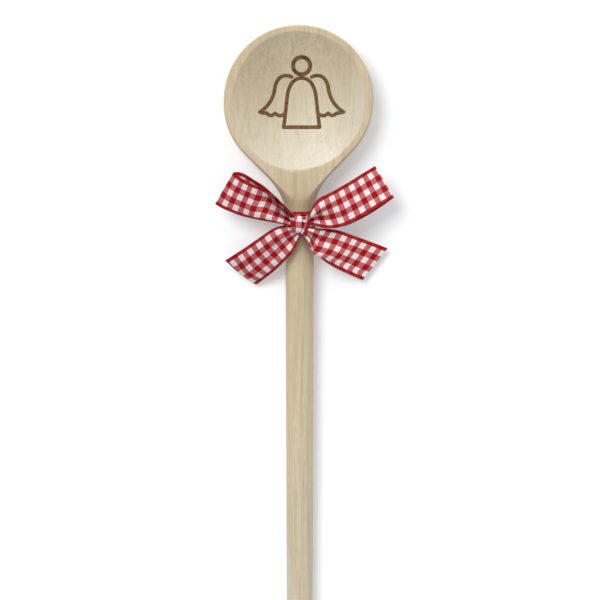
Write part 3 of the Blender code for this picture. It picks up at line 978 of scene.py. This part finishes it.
def wood_material():
    """Pale close-grained wood, streaked along the handle, with short dark pores, the burnt figure and
    painted light on the dish's lower wall.
    """
    n = Nodes("spoon_wood")
    place = n.add("ShaderNodeTexCoord").outputs["Object"]
    names = ("dish", "pale", "flecked", "burnt", "core")
    dish, pale, flecked, burnt, core = (n.attribute(name) for name in names)
    streak, fine, speck = (n.noise(place, *noise) for noise in (STREAK_NOISE, FINE_NOISE, SPECK_NOISE))
    colour = grained_colour(n, place, dish, pale, (streak, fine, speck))
    pores = pore_share(n, place, dish, flecked)
    scratches = n.math("MULTIPLY", n.marks(place, SCRATCH_NOISE, SCRATCH_LIMITS), dish)
    dark = n.math("MULTIPLY_ADD", scratches, SCRATCH_SHARE, pores)
    colour = n.mix(dark, colour, WOOD_FLECK)
    glow = n.math("MULTIPLY", core, n.marks(place, CHAR_NOISE, CHAR_LIMITS))
    colour = n.mix(burnt, colour, n.mix(glow, BURN_DARK, BURN_LIGHT))
    n.set(n.shader.inputs["Base Color"], colour)
    rough = n.math("MULTIPLY_ADD", fine, FINE_ROUGHNESS, WOOD_ROUGHNESS)
    n.set(n.shader.inputs["Roughness"], n.math("MULTIPLY_ADD", burnt, BURN_ROUGHNESS, rough))
    relief = n.math("MULTIPLY", fine, 1 - STREAK_RELIEF)
    relief = n.math("MULTIPLY_ADD", streak, STREAK_RELIEF, relief)
    relief = n.math("SUBTRACT", relief, pores)
    n.set(n.shader.inputs["Normal"], n.bump(relief, GRAIN_HEIGHT, GRAIN_STRENGTH))
    n.shader.inputs["Specular IOR Level"].default_value = WOOD_SHINE
    return n.material


RED = (0.33, 0.003, 0.005, 1)
DEEP_RED = (0.20, 0.002, 0.004, 1)
EDGE_PINK = (0.36, 0.02, 0.027, 1)
WHITE = (0.80, 0.66, 0.645, 1)
PINK = (0.40, 0.058, 0.07, 1)
SELVEDGE_LIGHT = (0.62, 0.36, 0.36, 1)
MOTTLE_DARK = (0.88, 0.88, 0.88, 1)
MOTTLE_LIGHT = (1.0, 1.0, 1.0, 1)

# The weave, in metres
SELVEDGE_EDGE = (0.0003, 0.0006)
SELVEDGE_TURN = 0.0011
THREAD = 0.00027
HATCH = 0.00062
WEAVE_HEIGHT = 0.00006

# An even number of bands that keeps their count above zero
EVEN_BANDS = 40.0

# Shares and limits of the marks in the cloth
HATCH_LIMITS = (0.12, 0.30)
PINK_SHARE = 0.7
TURN_LIMITS = (0.2, 0.9)
TURN_SHARE = 0.5
WORN_NOISE = (160, (1, 1, 1), 1.0, 0.5)
WORN_LIMITS = (0.45, 0.6)
SELVEDGE_SHARE = 0.7
SELVEDGE_RAISE = 0.8
MOTTLE_NOISE = (420, (1, 1, 1), 3.0, 0.5)
MOTTLE_LIMITS = (0.2, 0.8)
WEAVE_STRENGTH = 0.5
RIBBON_ROUGHNESS = 0.85
WEAVE_ROUGHNESS = -0.1
RIBBON_SHINE = 0.08
SHEEN = 0.03
SHEEN_ROUGHNESS = 0.4


def odd_band(n, value, offset):
    """1 in every second band of the weave and 0 in the others."""
    band = n.math("FLOOR", n.math("MULTIPLY_ADD", value, METRE / CHECK, offset))
    return n.math("MODULO", n.math("ADD", band, EVEN_BANDS), 2.0)


def gingham_colour(n, along, across, from_edge):
    """White and red checks with hatched half tones between, redder in the bands along the edges."""
    red_warp = odd_band(n, across, -SELVEDGE_CHECK / CHECK)
    red_weft = odd_band(n, along, 0.0)
    both = n.math("MULTIPLY", red_warp, red_weft)
    either = n.math("MAXIMUM", red_warp, red_weft)
    diagonal = n.math("FRACT", n.math("MULTIPLY", n.math("ADD", along, across), 1 / HATCH))
    hatch = n.ramp(n.math("ABSOLUTE", n.math("SUBTRACT", diagonal, 0.5)), *HATCH_LIMITS)
    half_tone = n.mix(PINK_SHARE, n.mix(hatch, WHITE, RED), PINK)
    edge_band = n.math("LESS_THAN", from_edge, SELVEDGE_CHECK / METRE)
    half_tone = n.mix(edge_band, half_tone, EDGE_PINK)
    return n.mix(both, n.mix(either, WHITE, half_tone), RED)


def selvedge_colour(n, flat, along):
    """Deep red, with lighter turns of thread here and there."""
    turns = n.math("SINE", n.math("MULTIPLY", along, 2 * math.pi / SELVEDGE_TURN))
    worn = n.marks(flat, WORN_NOISE, WORN_LIMITS)
    light = n.math("MULTIPLY", n.ramp(turns, *TURN_LIMITS), worn)
    return n.mix(n.math("MULTIPLY", light, TURN_SHARE), DEEP_RED, SELVEDGE_LIGHT)


def ribbon_material():
    """Woven gingham from the ribbon's own flat sizes: checks, threads and selvedges."""
    n = Nodes("gingham_ribbon")
    flat = n.add("ShaderNodeUVMap", uv_map="cloth").outputs[0]
    along, across = n.add("ShaderNodeSeparateXYZ", {0: flat}).outputs[:2]
    from_edge = n.math("MINIMUM", across, n.math("SUBTRACT", WIDTH / METRE, across))
    selvedge = n.math("SUBTRACT", 1.0, n.ramp(from_edge, *SELVEDGE_EDGE))
    colour = gingham_colour(n, along, across, from_edge)
    colour = n.mix(n.math("MULTIPLY", selvedge, SELVEDGE_SHARE), colour, selvedge_colour(n, flat, along))
    mottle = n.marks(flat, MOTTLE_NOISE, MOTTLE_LIMITS)
    colour = n.mix(1.0, colour, n.mix(mottle, MOTTLE_DARK, MOTTLE_LIGHT), "MULTIPLY")
    n.set(n.shader.inputs["Base Color"], colour)
    warp, weft = (n.math("SINE", n.math("MULTIPLY", way, math.pi / THREAD)) for way in (along, across))
    weave = n.math("MULTIPLY_ADD", n.math("MULTIPLY", warp, weft), 0.5, 0.5)
    weave = n.math("MULTIPLY_ADD", selvedge, SELVEDGE_RAISE, weave)
    n.set(n.shader.inputs["Normal"], n.bump(weave, WEAVE_HEIGHT, WEAVE_STRENGTH))
    n.set(n.shader.inputs["Roughness"], n.math("MULTIPLY_ADD", weave, WEAVE_ROUGHNESS, RIBBON_ROUGHNESS))
    n.shader.inputs["Specular IOR Level"].default_value = RIBBON_SHINE
    n.shader.inputs["Sheen Weight"].default_value = SHEEN
    n.shader.inputs["Sheen Roughness"].default_value = SHEEN_ROUGHNESS
    return n.material


# Floor, light and camera

FLOOR_REACH = 3.0
FLOOR_DROP = 0.0002
FLOOR_COLOUR = (0.785, 0.80, 0.81, 1)
FLOOR_GLOW = 0.195
FLOOR_GLOW_COLOUR = (1, 1, 1, 1)
FLOOR_ROUGHNESS = 0.9


def make_floor():
    """A matt white floor under the spoon."""
    mesh = bpy.data.meshes.new("floor")
    corners = [(-1, -1), (1, -1), (1, 1), (-1, 1)]
    mesh.from_pydata([(x * FLOOR_REACH, y * FLOOR_REACH, 0) for x, y in corners], [], [(0, 1, 2, 3)])
    n = Nodes("floor")
    n.shader.inputs["Base Color"].default_value = FLOOR_COLOUR
    n.shader.inputs["Emission Color"].default_value = FLOOR_GLOW_COLOUR
    n.shader.inputs["Emission Strength"].default_value = FLOOR_GLOW
    n.shader.inputs["Roughness"].default_value = FLOOR_ROUGHNESS
    n.shader.inputs["Specular IOR Level"].default_value = 0.0
    mesh.materials.append(n.material)
    floor = bpy.data.objects.new("floor", mesh)
    floor.location.z = -FLOOR_DROP
    bpy.context.scene.collection.objects.link(floor)
    return floor


FILL_STRENGTH = 0.69
FILL_COLOUR = (0.955, 0.978, 1, 1)

# Lamps: name, the direction that the light comes from, strength and angle of spread
KEY = ("key", (-0.2, 0.71, 0.66), 2.72, math.radians(40))
BACKGROUND_LAMP = ("background_lamp", (-0.34, 0.30, 0.89), 1.62, math.radians(27))
BOW_LAMP = ("bow_lamp", (0.27, 0.58, 0.77), 2.4, math.radians(40))


def make_lamp(name, place, strength, spread):
    """A lamp far away, whose light comes from this place towards the origin."""
    data = bpy.data.lights.new(name, "SUN")
    data.energy = strength
    data.angle = spread
    lamp = bpy.data.objects.new(name, data)
    lamp.location = place
    lamp.rotation_mode = "QUATERNION"
    lamp.rotation_quaternion = (-Vector(place)).to_track_quat("-Z", "Y")
    bpy.context.scene.collection.objects.link(lamp)
    return lamp


def lit_only(lamp, *things):
    """Let a lamp light only these things."""
    group = bpy.data.collections.new(lamp.name)
    for thing in things:
        group.objects.link(thing)
    lamp.light_linking.receiver_collection = group


def make_lights(floor, spoon, *bow):
    """Even light from all round, broad lamps from beyond the tip, and a lamp for the white background."""
    world = bpy.data.worlds.new("studio")
    world.use_nodes = True
    world.node_tree.nodes["Background"].inputs["Color"].default_value = FILL_COLOUR
    world.node_tree.nodes["Background"].inputs["Strength"].default_value = FILL_STRENGTH
    bpy.context.scene.world = world
    lit_only(make_lamp(*KEY), spoon)
    lit_only(make_lamp(*BOW_LAMP), *bow)
    lit_only(make_lamp(*BACKGROUND_LAMP), floor)


def make_camera():
    """Straight above, at the picture's scale on the handle's axis."""
    data = bpy.data.cameras.new("camera")
    data.sensor_width = SENSOR
    data.lens = SENSOR * CAMERA_DISTANCE / (PICTURE * PIXEL)
    data.clip_end = CAMERA_FAR / METRE
    camera = bpy.data.objects.new("camera", data)
    camera.location = (MIDDLE[0] / METRE, MIDDLE[1] / METRE, CAMERA_DISTANCE / METRE + AXIS_ORIGIN.z)
    bpy.context.scene.collection.objects.link(camera)
    bpy.context.scene.camera = camera


def main():
    make_camera()
    cloth = ribbon_material()
    pieces = [
        make_spoon(wood_material()),
        make_band(cloth),
        make_crossing(cloth),
        make_knot(cloth),
        make_loop("ribbon_loop_left", "ribbon_left_loop", cloth, LEFT_LOOP),
        make_loop("ribbon_loop_right", "ribbon_right_loop", cloth, RIGHT_LOOP),
        make_tail("ribbon_tail_left", "ribbon_left_tail", cloth, LEFT_TAIL),
        make_tail("ribbon_tail_right", "ribbon_right_tail", cloth, RIGHT_TAIL),
    ]
    make_lights(make_floor(), *pieces)
    bpy.context.scene.view_settings.view_transform = "Standard"


main()
